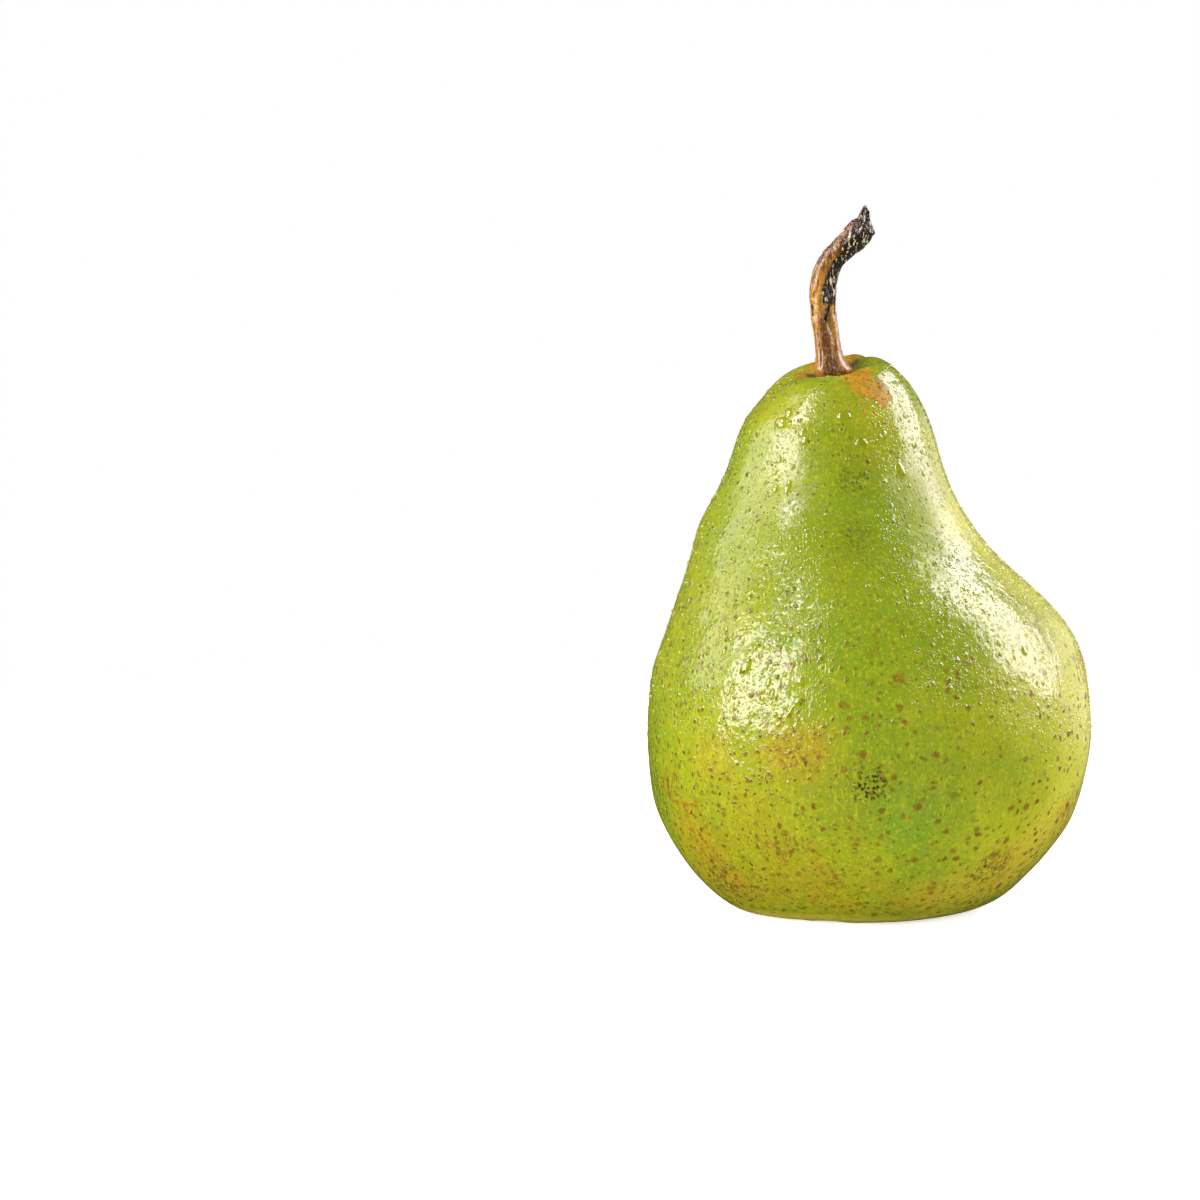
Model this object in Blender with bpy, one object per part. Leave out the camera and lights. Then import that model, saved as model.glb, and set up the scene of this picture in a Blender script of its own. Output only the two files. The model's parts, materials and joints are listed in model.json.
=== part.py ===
# A fresh pear, standing on the small flat round its blossom end.
#
# Three pieces: the fruit, the woody stem in the cavity on its top, and the dried calyx in the basin under it.
# The fruit is a turned outline that is then leaned, lobed and pressed flat where it rests.
# Sizes are in millimetres, +Z is up, and heights are measured from the surface that the pear stands on.

import math

import bmesh
import bpy
import numpy as np
from mathutils import Vector

MM = 0.001
MERGE_MM = 0.001
CLEARANCE = 0.3  # gap between the fruit and each piece set in it

# Fruit: outline as (radius, height), from the blossom end round the belly to the stem cavity
PIT_RADIUS = 2.6
PIT_TOP = 6.4
PIT_MOUTH = 4.9
BASIN = [(3.1, 4.4), (4.6, 3.9), (6.6, 2.4), (8.6, 0.5), (10.4, -0.25)]
SIDE = [
    (17.6, -0.25),
    (22.0, 1.6),
    (28.0, 7.0),
    (33.7, 16.0),
    (36.0, 28.0),
    (34.4, 40.0),
    (29.4, 50.4),
    (24.95, 56.7),
    (22.1, 61.6),
    (17.45, 70.6),
    (15.0, 78.2),
    (11.2, 83.9),
    (6.3, 87.1),
]
CAVITY = [(4.7, 86.1), (3.5, 84.9), (2.75, 84.5)]
SOCKET_RADIUS = 2.35
SOCKET_TOP = 84.0
SOCKET_BOTTOM = 79.0
FRUIT_SIDES = 72
STATION_STEP = 2.1  # distance between rings of the fruit, along its outline

# Lean: how far the axis of the fruit stands to the left of the belly's centre
NECK_LEAN = 5.75
HEEL_LEAN = 1.0
LEAN_STARTS, LEAN_ENDS = 41.0, 66.0
HEEL_LOW, HEEL_HIGH = 7.0, 32.0
NECK_SET_BACK = 1.2
CAVITY_LEAN = 0.7  # the stem cavity is a little off the neck's centre
CAVITY_INNER, CAVITY_OUTER = 3.5, 9.0
CAVITY_LOW, CAVITY_HIGH = 70.0, 78.0

# Slight swellings that keep the fruit from being round, as shares of its radius
OVAL_SHARE = 0.008
OVAL_DIRECTION = 2.2
OVAL_HEIGHT = 80.0
THREE_SIDED_SHARE = 0.006
THREE_SIDED_DIRECTION = 3.8
THREE_SIDED_MIDDLE, THREE_SIDED_REACH = 50.0, 22.0

# Lobes and creases
RIM_TILT = 2.1
RIM_HIGH_SIDE = math.radians(40)
RIM_TILT_INNER, RIM_TILT_OUTER = 2.8, 7.0
SHOULDER_STARTS, SHOULDER_ENDS = 74.0, 86.0
HEEL_LOBES = 5
HEEL_LOBE_SHARE = 0.016
HEEL_LOBE_DIRECTION = 0.5
HEEL_LOBE_HEIGHT = 11.0
HEEL_LOBE_INNER, HEEL_LOBE_OUTER = 3.0, 9.0
HEEL_RADIUS = 17.0
HEEL_RISE = 0.45  # how far the right side of the heel stands off the surface
CREASES = [  # direction in degrees, depth, angular width in degrees
    (42.0, 1.0, 12.0),
    (4.0, 0.5, 14.0),
    (194.0, 0.9, 15.0),
    (290.0, 0.3, 16.0),
]
CREASE_RISE = 2.6, 5.0  # distances from the cavity's middle between which a crease deepens
CREASE_FADE = 7.0, 14.0

# Stem: centre line as (x, y, z, radius) from the middle of the socket, up to the broken spur end
STEM_LINE = [
    (0.0, 0.0, SOCKET_BOTTOM + CLEARANCE, SOCKET_RADIUS - CLEARANCE - 0.05),
    (0.0, 0.0, 84.2, 1.95),
    (0.0, 0.0, 86.0, 2.65),
    (-0.35, 0.0, 88.4, 2.25),
    (-0.75, 0.1, 91.6, 2.05),
    (-1.2, 0.25, 95.5, 2.03),
    (-1.3, 0.35, 99.0, 2.15),
    (-0.7, 0.35, 102.2, 2.05),
    (0.3, 0.2, 104.2, 1.87),
    (1.5, 0.0, 105.4, 1.8),
    (3.0, -0.2, 106.8, 1.98),
    (4.4, -0.4, 108.2, 2.12),
    (5.5, -0.5, 109.4, 1.7),
]
STEM_SIDES = 24
STEM_RING_STEP = 0.9
STEM_RIDGES = [(3, 0.045, 0.6), (5, 0.03, -0.9)]  # count round it, share of its radius, turns in its length
STEM_LENGTH = 40.0
STEM_FOOT = 84.8, 86.0  # heights between which the ridges begin
FURROW_DIRECTION = math.radians(-58)
FURROW_WIDTH = math.radians(24)
FURROW_SHARE = 0.16
FURROW_TWIST = 0.02  # radians for each millimetre of height
FURROW_MIDDLE = 100.0
FURROW_STARTS, FURROW_FULL = 88.0, 94.0
SPLINTER_BASE = Vector((5.3, -0.5, 108.9))
SPLINTER_TIP = Vector((5.4, -0.6, 112.7))
SPLINTER_RADIUS = 1.6
SPLINTER_END_RADIUS = 0.12
SPLINTER_SIDES = 9

# Calyx: a short plug in the pit, with five dried sepals that spread and curl down
PLUG_RADIUS = PIT_RADIUS - CLEARANCE
PLUG_TOP = PIT_TOP - CLEARANCE
CALYX_PLUG = [
    (0.0, PLUG_TOP),
    (PLUG_RADIUS - 0.2, PLUG_TOP),
    (PLUG_RADIUS, PLUG_TOP - 0.5),
    (PLUG_RADIUS, 4.2),
    (2.75, 3.7),
    (2.3, 3.1),
    (1.4, 3.6),
    (0.0, 3.9),
]
CALYX_SIDES = 30
SEPALS = 5
SEPAL_LINE = [  # distance out, height, half the sepal's width
    (1.9, 3.75, 1.05),
    (3.4, 3.35, 1.5),
    (5.0, 2.6, 1.35),
    (6.2, 1.8, 0.85),
    (6.9, 1.15, 0.3),
]
SEPAL_STEP = 0.65
FIRST_SEPAL = 0.3
SEPAL_THICKNESS = 0.6
SEPAL_CUP = 0.35  # how far a sepal's edges stand below its midrib


def clear_scene():
    for obj in list(bpy.data.objects):
        bpy.data.objects.remove(obj)


def material(name, colour, roughness):
    """One plain finish."""
    made = bpy.data.materials.new(name)
    made.use_nodes = True
    shader = made.node_tree.nodes["Principled BSDF"]
    shader.inputs["Base Color"].default_value = (*colour, 1.0)
    shader.inputs["Roughness"].default_value = roughness
    shader.inputs["Metallic"].default_value = 0.0
    return made


def object_from(bm, name, finish, parent=None):
    """Turns a bmesh in millimetres into a named object in metres."""
    bmesh.ops.remove_doubles(bm, verts=bm.verts, dist=MERGE_MM)
    bmesh.ops.recalc_face_normals(bm, faces=bm.faces)
    bmesh.ops.scale(bm, vec=(MM, MM, MM), verts=bm.verts)
    mesh = bpy.data.meshes.new(name)
    bm.to_mesh(mesh)
    bm.free()
    mesh.shade_smooth()
    mesh.set_sharp_from_angle(angle=math.radians(50))
    mesh.materials.append(finish)
    obj = bpy.data.objects.new(name, mesh)
    bpy.context.scene.collection.objects.link(obj)
    obj.parent = parent
    return obj


def smooth_step(low, high, value):
    """Rises from 0 to 1 between two values, with no kink at either end."""
    share = min(1.0, max(0.0, (value - low) / (high - low)))
    return share**3 * (share * (6.0 * share - 15.0) + 10.0)


def curve_through(points, step):
    """Points about a step apart on a cubic spline through the given ones, of any number of coordinates."""
    points = np.array(points)
    spans = np.linalg.norm(np.diff(points, axis=0), axis=1)
    knots = np.concatenate([[0.0], np.cumsum(spans)])
    last = len(points) - 1
    stiffness = np.eye(last + 1)
    pull = np.zeros_like(points)
    for k in range(1, last):
        before, after = spans[k - 1], spans[k]
        stiffness[k, k - 1 : k + 2] = before, 2.0 * (before + after), after
        pull[k] = 6.0 * ((points[k + 1] - points[k]) / after - (points[k] - points[k - 1]) / before)
    bends = np.linalg.solve(stiffness, pull)
    made = []
    for along in np.linspace(0.0, knots[-1], round(knots[-1] / step) + 1):
        k = min(last - 1, int(np.searchsorted(knots, along, side="right")) - 1)
        far = (along - knots[k]) / spans[k]
        near = 1.0 - far
        bent = (near**3 - near) * bends[k] + (far**3 - far) * bends[k + 1]
        place = near * points[k] + far * points[k + 1] + bent * spans[k] ** 2 / 6.0
        made.append(place.tolist())
    return made


def turned(outline, sides):
    """A bmesh turned round Z from (radius, height) points."""
    bm = bmesh.new()
    points = [bm.verts.new((radius, 0.0, height)) for radius, height in outline]
    edges = [bm.edges.new(pair) for pair in zip(points, points[1:])]
    bmesh.ops.spin(
        bm,
        geom=points + edges,
        cent=(0, 0, 0),
        axis=(0, 0, 1),
        angle=math.tau,
        steps=sides,
        use_merge=True,
    )
    bmesh.ops.remove_doubles(bm, verts=bm.verts, dist=MERGE_MM)
    return bm


def fruit_outline():
    """The whole outline, from the middle of the calyx pit to the middle of the stem socket."""
    skin = curve_through(BASIN + SIDE + CAVITY, STATION_STEP)
    pit = [(0.0, PIT_TOP), (PIT_RADIUS, PIT_TOP), (PIT_RADIUS, PIT_MOUTH)]
    socket = [(SOCKET_RADIUS, SOCKET_TOP), (SOCKET_RADIUS, SOCKET_BOTTOM), (0.0, SOCKET_BOTTOM)]
    return pit + skin + socket


def crease_depth(angle, radius):
    """How far the folds round the stem sink the shoulder at a place."""
    reach = smooth_step(*CREASE_RISE, radius) * (1.0 - smooth_step(*CREASE_FADE, radius))
    depth = 0.0
    for direction, deepest, width in CREASES:
        off = math.degrees(angle) - direction
        off = (off + 180.0) % 360.0 - 180.0
        depth += deepest * math.exp(-((off / width) ** 2))
    return depth * reach


def leaned(height, radius=0.0):
    """How far the fruit's axis is off in x and y at a height, and at a distance from that axis."""
    neck = smooth_step(LEAN_STARTS, LEAN_ENDS, height)
    heel = 1.0 - smooth_step(HEEL_LOW, HEEL_HIGH, height)
    cavity = smooth_step(CAVITY_LOW, CAVITY_HIGH, height)
    cavity *= 1.0 - smooth_step(CAVITY_INNER, CAVITY_OUTER, radius)
    return -NECK_LEAN * neck - HEEL_LEAN * heel - CAVITY_LEAN * cavity, NECK_SET_BACK * neck


def swelling(angle, height, heel):
    """How much wider than its turned outline the fruit is at a place, as a factor."""
    oval = math.sin(math.pi * min(1.0, height / OVAL_HEIGHT)) * math.cos(2 * angle - OVAL_DIRECTION)
    off_middle = (height - THREE_SIDED_MIDDLE) / THREE_SIDED_REACH
    three_sided = math.exp(-(off_middle**2)) * math.cos(3 * angle + THREE_SIDED_DIRECTION)
    lobes = heel * math.cos(HEEL_LOBES * angle + HEEL_LOBE_DIRECTION)
    return 1.0 + OVAL_SHARE * oval + THREE_SIDED_SHARE * three_sided + HEEL_LOBE_SHARE * lobes


def shaped(point):
    """Moves a point of the turned outline to where it is on the grown fruit."""
    radius, angle, height = math.hypot(point.x, point.y), math.atan2(point.y, point.x), point.z
    heel = math.exp(-((height / HEEL_LOBE_HEIGHT) ** 2))
    heel *= smooth_step(HEEL_LOBE_INNER, HEEL_LOBE_OUTER, radius)
    shoulder = smooth_step(SHOULDER_STARTS, SHOULDER_ENDS, height)
    tilt = RIM_TILT * math.cos(angle - RIM_HIGH_SIDE) * smooth_step(RIM_TILT_INNER, RIM_TILT_OUTER, radius)
    raised = height + shoulder * (tilt - crease_depth(angle, radius))
    raised += HEEL_RISE * heel * math.cos(angle) * radius / HEEL_RADIUS
    lean_x, lean_y = leaned(height, radius)
    grown = radius * swelling(angle, height, heel)
    return Vector((grown * math.cos(angle) + lean_x, grown * math.sin(angle) + lean_y, max(0.0, raised)))


def make_fruit(parent):
    bm = turned(fruit_outline(), FRUIT_SIDES)
    for vert in bm.verts:
        vert.co = shaped(vert.co)
    return object_from(bm, "fruit", material("green_skin", (0.36, 0.43, 0.03), 0.38), parent)


def stem_radius(radius, height, angle, along):
    """The stem's radius at a place, with its ridges and the furrow down one side."""
    relief = 0.0
    for count, depth, turns in STEM_RIDGES:
        relief += depth * math.cos(count * angle + math.tau * turns * along / STEM_LENGTH)
    off = angle - FURROW_DIRECTION + FURROW_TWIST * (height - FURROW_MIDDLE)
    off = (off + math.pi) % math.tau - math.pi
    furrow = FURROW_SHARE * math.exp(-((off / FURROW_WIDTH) ** 2))
    relief -= furrow * smooth_step(FURROW_STARTS, FURROW_FULL, height)
    return radius * (1.0 + relief * smooth_step(*STEM_FOOT, height))


def stem_body():
    """The swept stem without its splinter."""
    line = curve_through(STEM_LINE, STEM_RING_STEP)
    bm = bmesh.new()
    rings = []
    along = 0.0
    for k, place in enumerate(line):
        centre = Vector(place[:3])
        before = Vector(line[max(0, k - 1)][:3])
        after = Vector(line[min(len(line) - 1, k + 1)][:3])
        along += (centre - before).length
        across = Vector((0, 1, 0)).cross(after - before).normalized()
        behind = (after - before).cross(across).normalized()
        ring = []
        for side in range(STEM_SIDES):
            angle = math.tau * side / STEM_SIDES
            outward = math.cos(angle) * across + math.sin(angle) * behind
            radius = stem_radius(place[3], centre.z, angle, along)
            ring.append(bm.verts.new(centre + radius * outward))
        rings.append(ring)
    for low, high in zip(rings, rings[1:]):
        for side in range(STEM_SIDES):
            following = (side + 1) % STEM_SIDES
            bm.faces.new((low[side], low[following], high[following], high[side]))
    bm.faces.new(reversed(rings[0]))
    bm.faces.new(rings[-1])
    return bm


def splinter():
    """The pointed sliver of bark left where the stem broke from its spur."""
    bm = bmesh.new()
    length = (SPLINTER_TIP - SPLINTER_BASE).length
    bmesh.ops.create_cone(
        bm,
        cap_ends=True,
        segments=SPLINTER_SIDES,
        radius1=SPLINTER_RADIUS,
        radius2=SPLINTER_END_RADIUS,
        depth=length,
    )
    turn = (SPLINTER_TIP - SPLINTER_BASE).to_track_quat("Z", "Y").to_matrix()
    bmesh.ops.rotate(bm, cent=(0, 0, 0), matrix=turn, verts=bm.verts)
    bmesh.ops.translate(bm, vec=(SPLINTER_BASE + SPLINTER_TIP) / 2, verts=bm.verts)
    return bm


def set_on_axis(obj, height):
    """Stands an object on the fruit's axis, as it is at a height."""
    x, y = leaned(height)
    obj.location = (x * MM, y * MM, 0.0)


def helper(obj):
    """Keeps an object out of the model: it only cuts or joins."""
    obj.hide_render = True
    obj.display_type = "WIRE"
    return obj


def make_stem(parent):
    bark = material("stem_bark", (0.24, 0.13, 0.04), 0.5)
    stem = object_from(stem_body(), "stem", bark, parent)
    tip = helper(object_from(splinter(), "splinter_helper", bark, parent))
    for piece in (stem, tip):
        set_on_axis(piece, SOCKET_BOTTOM)
    join = stem.modifiers.new("splinter", "BOOLEAN")
    join.operation = "UNION"
    join.object = tip
    return stem


def sepal(direction):
    """One dried sepal as a thin closed blade, with its root in the plug."""
    bm = bmesh.new()
    rows = curve_through(SEPAL_LINE, SEPAL_STEP)
    out = Vector((math.cos(direction), math.sin(direction), 0.0))
    side = Vector((-out.y, out.x, 0.0))
    grid = []
    for radius, height, half in rows:
        middle = out * radius + Vector((0, 0, height))
        edge_drop = Vector((0, 0, SEPAL_CUP * half))
        upper = [middle - side * half - edge_drop, middle, middle + side * half - edge_drop]
        lower = [p - Vector((0, 0, SEPAL_THICKNESS)) for p in upper]
        grid.append([bm.verts.new(p) for p in upper + lower[::-1]])
    for near, far in zip(grid, grid[1:]):
        for k in range(len(near)):
            following = (k + 1) % len(near)
            bm.faces.new((near[k], near[following], far[following], far[k]))
    bm.faces.new(grid[0])
    bm.faces.new(reversed(grid[-1]))
    return bm


def make_calyx(parent):
    """The plug and its sepals, joined into one body."""
    dried = material("calyx_brown", (0.06, 0.035, 0.018), 0.8)
    calyx = object_from(turned(CALYX_PLUG, CALYX_SIDES), "calyx", dried, parent)
    blades = bpy.data.collections.new("sepals")
    bpy.context.scene.collection.children.link(blades)
    for k in range(SEPALS):
        blade = object_from(sepal(FIRST_SEPAL + math.tau * k / SEPALS), f"sepal_{k}", dried, parent)
        bpy.context.scene.collection.objects.unlink(blade)
        blades.objects.link(blade)
    join = calyx.modifiers.new("sepals", "BOOLEAN")
    join.operation = "UNION"
    join.operand_type = "COLLECTION"
    join.collection = blades
    bpy.context.view_layer.objects.active = calyx
    bpy.ops.object.modifier_apply(modifier=join.name)
    for blade in list(blades.objects):
        bpy.data.objects.remove(blade)
    bpy.data.collections.remove(blades)
    return calyx


def main():
    clear_scene()
    pear = bpy.data.objects.new("pear", None)
    bpy.context.scene.collection.objects.link(pear)
    fruit = make_fruit(pear)
    make_stem(pear)
    calyx = make_calyx(pear)
    set_on_axis(calyx, 0.0)
    # The origin is under the middle of the fruit, as seen from above.
    across = [v.co.x for v in fruit.data.vertices]
    deep = [v.co.y for v in fruit.data.vertices]
    pear.location = (-(min(across) + max(across)) / 2, -(min(deep) + max(deep)) / 2, 0.0)


main()
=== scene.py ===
import json
import math
import random

import bpy
import numpy as np
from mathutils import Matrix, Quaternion, Vector, noise
from mathutils.bvhtree import BVHTree

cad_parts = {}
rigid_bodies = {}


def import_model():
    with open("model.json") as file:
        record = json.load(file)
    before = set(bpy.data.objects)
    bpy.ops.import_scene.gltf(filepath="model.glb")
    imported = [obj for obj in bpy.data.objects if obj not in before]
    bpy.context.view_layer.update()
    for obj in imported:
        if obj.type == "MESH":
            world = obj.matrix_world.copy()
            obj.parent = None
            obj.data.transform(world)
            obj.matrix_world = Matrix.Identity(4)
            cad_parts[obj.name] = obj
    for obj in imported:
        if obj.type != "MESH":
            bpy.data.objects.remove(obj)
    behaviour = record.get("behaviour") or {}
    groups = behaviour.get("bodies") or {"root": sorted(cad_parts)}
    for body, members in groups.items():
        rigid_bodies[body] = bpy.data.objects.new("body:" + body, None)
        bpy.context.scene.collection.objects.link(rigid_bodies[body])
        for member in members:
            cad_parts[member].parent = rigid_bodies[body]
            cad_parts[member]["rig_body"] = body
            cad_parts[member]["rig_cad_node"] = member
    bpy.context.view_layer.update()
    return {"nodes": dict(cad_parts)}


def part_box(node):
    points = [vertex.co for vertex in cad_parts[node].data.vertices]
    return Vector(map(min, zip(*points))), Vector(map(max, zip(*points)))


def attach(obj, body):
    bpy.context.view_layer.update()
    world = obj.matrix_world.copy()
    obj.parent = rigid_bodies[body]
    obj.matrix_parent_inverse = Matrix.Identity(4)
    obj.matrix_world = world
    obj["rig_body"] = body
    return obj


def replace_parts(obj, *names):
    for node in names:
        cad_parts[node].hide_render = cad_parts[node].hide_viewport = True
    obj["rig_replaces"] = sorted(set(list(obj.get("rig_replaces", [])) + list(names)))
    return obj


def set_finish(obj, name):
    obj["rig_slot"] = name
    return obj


# A fresh green pear with dew on it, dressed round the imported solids.
# Sizes and places in the dictionaries are millimetres.
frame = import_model()
mm = 0.001


# Small tools

def deselectAll():
    if bpy.context.object and bpy.context.object.mode != "OBJECT":
        bpy.ops.object.mode_set(mode="OBJECT")
    bpy.ops.object.select_all(action="DESELECT")


def pick(piece):
    deselectAll()
    piece.select_set(True)
    bpy.context.view_layer.objects.active = piece


def applyModifiers(piece):
    pick(piece)
    for modifier in list(piece.modifiers):
        bpy.ops.object.modifier_apply(modifier=modifier.name)


def subdivide(piece, levels):
    smooth = piece.modifiers.new("smooth", "SUBSURF")
    smooth.levels = smooth.render_levels = levels
    applyModifiers(piece)


def fuse(piece, voxel, rounds):
    # one closed skin round shapes that overlap, smoothed a few times
    remesh = piece.modifiers.new("remesh", "REMESH")
    remesh.mode = "VOXEL"
    remesh.voxel_size = voxel * mm
    soften = piece.modifiers.new("soften", "SMOOTH")
    soften.factor = 0.5
    soften.iterations = rounds
    applyModifiers(piece)


def joinInto(piece, others):
    pick(piece)
    for other in others:
        other.select_set(True)
    bpy.ops.object.join()


def copyOf(piece, name):
    # a copy with its own mesh, free of its body and of its roles
    pick(piece)
    bpy.ops.object.duplicate()
    made = bpy.context.object
    made.name = made.data.name = name
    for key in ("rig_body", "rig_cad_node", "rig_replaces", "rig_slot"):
        if key in made:
            del made[key]
    bpy.ops.object.parent_clear(type="CLEAR_KEEP_TRANSFORM")
    return made


def copyOfNode(nodeName, pieceName):
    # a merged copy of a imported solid, in quads
    piece = copyOf(frame["nodes"][nodeName], pieceName)
    bpy.ops.object.mode_set(mode="EDIT")
    bpy.ops.mesh.select_all(action="SELECT")
    bpy.ops.mesh.remove_doubles(threshold=0.001 * mm)
    bpy.ops.mesh.tris_convert_to_quads(face_threshold=math.radians(30), shape_threshold=math.radians(50))
    bpy.ops.object.mode_set(mode="OBJECT")
    return piece


def placesOf(piece):
    # the piece's points as rows of x, y, z in millimetres
    flat = np.empty(len(piece.data.vertices) * 3)
    piece.data.vertices.foreach_get("co", flat)
    return flat.reshape(-1, 3) / mm


def movePlaces(piece, places):
    piece.data.vertices.foreach_set("co", (places * mm).ravel())
    piece.data.update()


def normalsOf(piece):
    flat = np.empty(len(piece.data.vertices) * 3)
    piece.data.vertex_normals.foreach_get("vector", flat)
    return flat.reshape(-1, 3)


def keepValues(piece, name, values):
    # one number for each point, which a material or a modifier can read
    attribute = piece.data.attributes.new(name, "FLOAT", "POINT")
    attribute.data.foreach_set("value", np.asarray(values, dtype=np.float32))


def noiseAt(places):
    return np.array([noise.noise(Vector(place)) for place in places])


def roughNoiseAt(places):
    # three octaves, each twice as fine
    return np.array([noise.fractal(Vector(place), 1.0, 2.0, 3) for place in places])


def ramp(low, high, values):
    # 0 at low, 1 at high, eased between
    share = np.clip((values - low) / (high - low), 0, 1)
    return share * share * (3 - 2 * share)


def dress(piece, material, slotName=None, replaced=()):
    pick(piece)
    bpy.ops.object.shade_smooth()
    piece.data.materials.clear()
    piece.data.materials.append(material)
    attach(piece, "root")
    if slotName:
        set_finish(piece, slotName)
    if replaced:
        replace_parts(piece, *replaced)
    return piece


# Node tools for the materials and the dew

smallestSpot = 0.45  # of a mark or droplet, as a share of the largest


def newMaterial(name):
    material = bpy.data.materials.new(name)
    material.use_nodes = True
    return material, material.node_tree, material.node_tree.nodes["Principled BSDF"]


def add(tree, kind, inputs=None, **settings):
    made = tree.nodes.new(kind)
    for name, value in settings.items():
        setattr(made, name, value)
    for name, value in (inputs or {}).items():
        if isinstance(value, bpy.types.NodeSocket):
            tree.links.new(value, made.inputs[name])
        else:
            made.inputs[name].default_value = value
    return made


def sums(tree, operation, *values, clamp=False):
    inputs = dict(enumerate(values))
    return add(tree, "ShaderNodeMath", inputs, operation=operation, use_clamp=clamp).outputs[0]


def times(tree, first, second):
    return sums(tree, "MULTIPLY", first, second)


def plus(tree, first, second, clamp=False):
    return sums(tree, "ADD", first, second, clamp=clamp)


def less(tree, first, second, clamp=False):
    return sums(tree, "SUBTRACT", first, second, clamp=clamp)


def larger(tree, first, second):
    return sums(tree, "MAXIMUM", first, second)


def fromTo(tree, value, start, end, low=0.0, high=1.0):
    # low where the value is at start, high where it is at end, eased between
    inputs = {"Value": value, "From Min": start, "From Max": end, "To Min": low, "To Max": high}
    return add(tree, "ShaderNodeMapRange", inputs, interpolation_type="SMOOTHSTEP").outputs[0]


def paint(tree, share, under, over):
    made = add(tree, "ShaderNodeMix", {0: share}, data_type="RGBA")
    for place, colour in ((6, under), (7, over)):
        if isinstance(colour, bpy.types.NodeSocket):
            tree.links.new(colour, made.inputs[place])
        else:
            made.inputs[place].default_value = (*colour, 1.0)
    return made.outputs[2]


def grey(value):
    return (value, value, value)


def valuesOf(tree, name):
    # the numbers kept on the piece's points
    return add(tree, "ShaderNodeAttribute", attribute_name=name).outputs["Fac"]


def vectors(tree, operation, inputs):
    return add(tree, "ShaderNodeVectorMath", inputs, operation=operation).outputs


def placeInMillimetres(tree):
    coordinates = add(tree, "ShaderNodeTexCoord").outputs["Object"]
    return vectors(tree, "SCALE", {0: coordinates, "Scale": 1 / mm})[0]


def upright(tree, place, rise):
    # draws a pattern out upwards where rise is under 1, squeezes it where it is over 1
    return vectors(tree, "MULTIPLY", {0: place, 1: (1.0, 1.0, rise)})[0]


def clouds(tree, place, width, detail=3.0, roughness=0.5):
    inputs = {"Vector": place, "Scale": 1 / width, "Detail": detail, "Roughness": roughness}
    return add(tree, "ShaderNodeTexNoise", inputs).outputs


def nudged(tree, place, width, amount):
    # the place, pushed about by soft noise, so that round masks get ragged edges
    drift = clouds(tree, place, width)["Color"]
    wander = vectors(tree, "SUBTRACT", {0: drift, 1: grey(0.5)})[0]
    push = vectors(tree, "SCALE", {0: wander, "Scale": amount * 2})[0]
    return vectors(tree, "ADD", {0: place, 1: push})[0]


def nearTo(tree, place, middle, reach, core=0.2):
    # 1 up to core, a share of the reach, and 0 from reach onwards
    away = vectors(tree, "DISTANCE", {0: place, 1: middle})["Value"]
    return fromTo(tree, away, reach, reach * core)


def zoneShare(tree, place, zone, start=0.0):
    # the strongest of a zone's spots: each has a middle, a reach and, in some zones, a strength
    ragged = nudged(tree, place, *zone["wander"])
    share = start
    for middle, reach, *strength in zone["spots"]:
        spot = nearTo(tree, ragged, middle, reach, zone["core"])
        for factor in strength:
            spot = times(tree, spot, factor)
        share = larger(tree, share, spot)
    return share


def spots(tree, place, cell, radius, chance):
    # a round spot in each cell: the way from its middle in its own radii, its size,
    # whether it is there, and a random number for it
    found = add(tree, "ShaderNodeTexVoronoi", {"Vector": place, "Scale": 1 / cell}).outputs
    luck = add(tree, "ShaderNodeSeparateColor", {0: found["Color"]}).outputs
    size = fromTo(tree, luck[0], 0.0, 1.0, radius * smallestSpot / cell, radius / cell)
    away = sums(tree, "DIVIDE", found["Distance"], size)
    there = sums(tree, "LESS_THAN", luck[1], chance)
    return away, size, there, luck[2]


def dots(tree, place, cell, radius, chance, softness=0.4):
    # marks of random size: how strongly each place is marked, and a random number for each mark
    away, size, there, luck = spots(tree, place, cell, radius, chance)
    mark = fromTo(tree, away, 1.0, 1.0 - softness)
    return times(tree, mark, there), luck


def domes(tree, place, cell, radius, chance, rise):
    # rounded droplets of random size as relief
    away, size, there, luck = spots(tree, place, cell, radius, chance)
    within = sums(tree, "MINIMUM", away, 1.0)
    bulge = less(tree, 1.0, times(tree, within, within))
    height = times(tree, there, rise / radius * cell)
    return times(tree, times(tree, bulge, height), size)


def raiseBy(tree, shader, relief, distance=1.0):
    # the surface stands out by distance, in millimetres, where the relief is 1
    bump = add(tree, "ShaderNodeBump", {"Height": relief, "Distance": distance * mm, "Strength": 1.0})
    tree.links.new(bump.outputs[0], shader.inputs["Normal"])


# Skin

skinShape = {
    "levels": 2,
    "dimples": ((16, 0.5), (6, 0.14)),  # width and depth of the soft unevenness
    # middle, reach and how far: the rim of the cavity, and a soft swell at the right of the waist
    "pushes": (
        ((-1.2, 6.0, 88.0), 3.2, (0.0, 0.0, 0.6)),
        ((11.8, -10.5, 65.0), 11.0, (0.4, -0.42, 0.3)),
    ),
    "flatBelow": 1.5,
    "flatUntil": 7.0,
}

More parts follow.
